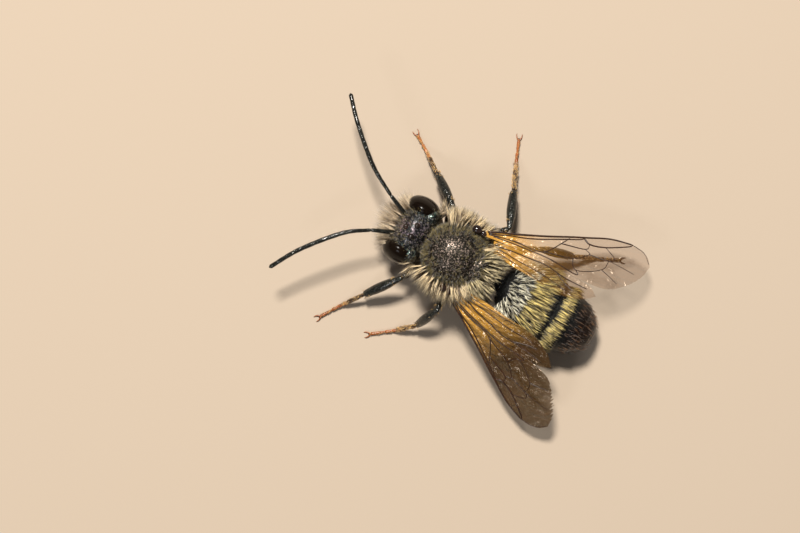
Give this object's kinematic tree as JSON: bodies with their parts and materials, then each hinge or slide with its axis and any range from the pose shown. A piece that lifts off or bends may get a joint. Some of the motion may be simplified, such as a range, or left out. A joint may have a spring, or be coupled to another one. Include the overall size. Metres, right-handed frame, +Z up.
{
  "type": "mason bee model",
  "caption": "Life-size still model of a male red mason bee standing on its six feet, wings half folded, feelers spread, with a pale ruff and golden hair bands.",
  "frame": {"origin": "middle of the whole bee's box, on the floor that it stands on", "axes": "+Z up, -Y the way the bee faces, +X the bee's own left side"},
  "size_m": [0.0118, 0.015, 0.0033],
  "materials": {
    "cuticle": "glossy greenish black chitin with fine pits",
    "pale_coat": "soft pale yellow-grey hair over pitted black cuticle",
    "golden_coat": "golden hair in bands over black cuticle, rusty at the tail",
    "eye": "dark brown-black faceted eye, glossy",
    "wing": "clear amber membrane with brown veins",
    "rusty": "rust-brown foot joints with golden hair"
  },
  "bodies": {
    "root": {"head": "cuticle", "thorax": "pale_coat", "abdomen": "golden_coat", "eye_left": "eye", "mandible_left": "cuticle", "antenna_left_scape": "cuticle", "antenna_left_flagellum": "cuticle", "tegula_left": "cuticle", "forewing_left": "wing", "hindwing_left": "wing", "eye_right": "eye", "mandible_right": "cuticle", "antenna_right_scape": "cuticle", "antenna_right_flagellum": "cuticle", "tegula_right": "cuticle", "forewing_right": "wing", "hindwing_right": "wing", "leg_fore_left_femur": "cuticle", "leg_fore_left_tibia": "cuticle", "leg_fore_left_tarsus": "rusty", "leg_fore_right_femur": "cuticle", "leg_fore_right_tibia": "cuticle", "leg_fore_right_tarsus": "rusty", "leg_mid_left_femur": "cuticle", "leg_mid_left_tibia": "cuticle", "leg_mid_left_tarsus": "rusty", "leg_mid_right_femur": "cuticle", "leg_mid_right_tibia": "cuticle", "leg_mid_right_tarsus": "rusty", "leg_hind_left_femur": "cuticle", "leg_hind_left_tibia": "cuticle", "leg_hind_left_tarsus": "rusty", "leg_hind_right_femur": "cuticle", "leg_hind_right_tibia": "cuticle", "leg_hind_right_tarsus": "rusty"}
  },
  "joints": []
}
